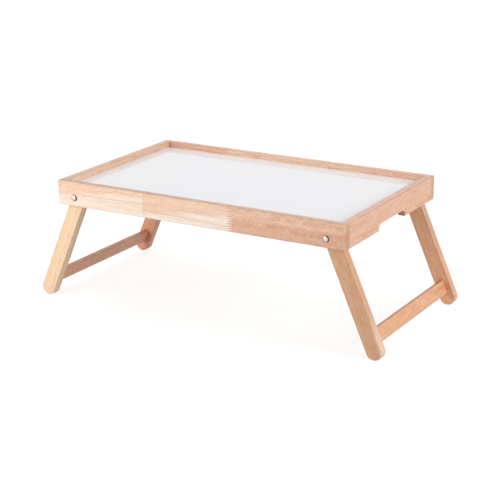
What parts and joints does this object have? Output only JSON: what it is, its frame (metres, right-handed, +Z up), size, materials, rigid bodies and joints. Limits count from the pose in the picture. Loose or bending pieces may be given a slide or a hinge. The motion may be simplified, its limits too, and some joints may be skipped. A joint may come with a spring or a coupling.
{
  "type": "bed tray table",
  "caption": "Rectangular wooden bed tray with a raised rim, a white inset surface, handle notches in its ends and splayed leg frames that fold flat underneath.",
  "frame": {"origin": "on the floor under the middle of the tray, with the legs open", "axes": "+X along the tray's long side, to the right of a person in front of it; +Y from front to back; +Z up"},
  "size_m": [0.603, 0.3098, 0.199],
  "materials": {
    "rubberwood": "satin clear lacquer",
    "dowel_wood": "bare",
    "board": "bare hardboard",
    "white_sheet": "smooth white, slight gloss",
    "polished_steel": "polished",
    "plated_steel": "zinc plated",
    "washer_plastic": "natural nylon"
  },
  "bodies": {
    "tray": {"tray_board": "board", "tray_surface": "white_sheet", "front_apron": "rubberwood", "back_apron": "rubberwood", "left_end_rail": "rubberwood", "right_end_rail": "rubberwood", "sleeve_nut_front_left": "polished_steel", "pivot_screw_front_left": "plated_steel", "spacer_washer_front_left": "washer_plastic", "inner_washer_front_left": "plated_steel", "lower_dowel_front_left": "dowel_wood", "upper_dowel_front_left": "dowel_wood", "sleeve_nut_front_right": "polished_steel", "pivot_screw_front_right": "plated_steel", "spacer_washer_front_right": "washer_plastic", "inner_washer_front_right": "plated_steel", "lower_dowel_front_right": "dowel_wood", "upper_dowel_front_right": "dowel_wood", "sleeve_nut_back_left": "polished_steel", "pivot_screw_back_left": "plated_steel", "spacer_washer_back_left": "washer_plastic", "inner_washer_back_left": "plated_steel", "lower_dowel_back_left": "dowel_wood", "upper_dowel_back_left": "dowel_wood", "sleeve_nut_back_right": "polished_steel", "pivot_screw_back_right": "plated_steel", "spacer_washer_back_right": "washer_plastic", "inner_washer_back_right": "plated_steel", "lower_dowel_back_right": "dowel_wood", "upper_dowel_back_right": "dowel_wood"},
    "left_leg_frame": {"leg_front_left": "rubberwood", "leg_back_left": "rubberwood", "left_stretcher": "rubberwood"},
    "right_leg_frame": {"leg_front_right": "rubberwood", "leg_back_right": "rubberwood", "right_stretcher": "rubberwood"}
  },
  "joints": [
    {"name": "left_fold", "type": "hinge", "parent": "tray", "child": "left_leg_frame", "pos_m": [-0.21903, 0, 0.17388], "axis": [0, -1, 0], "range_deg": [0, 113.5]},
    {"name": "right_fold", "type": "hinge", "parent": "tray", "child": "right_leg_frame", "pos_m": [0.21903, 0, 0.17388], "axis": [0, 1, 0], "range_deg": [0, 113.5]}
  ]
}
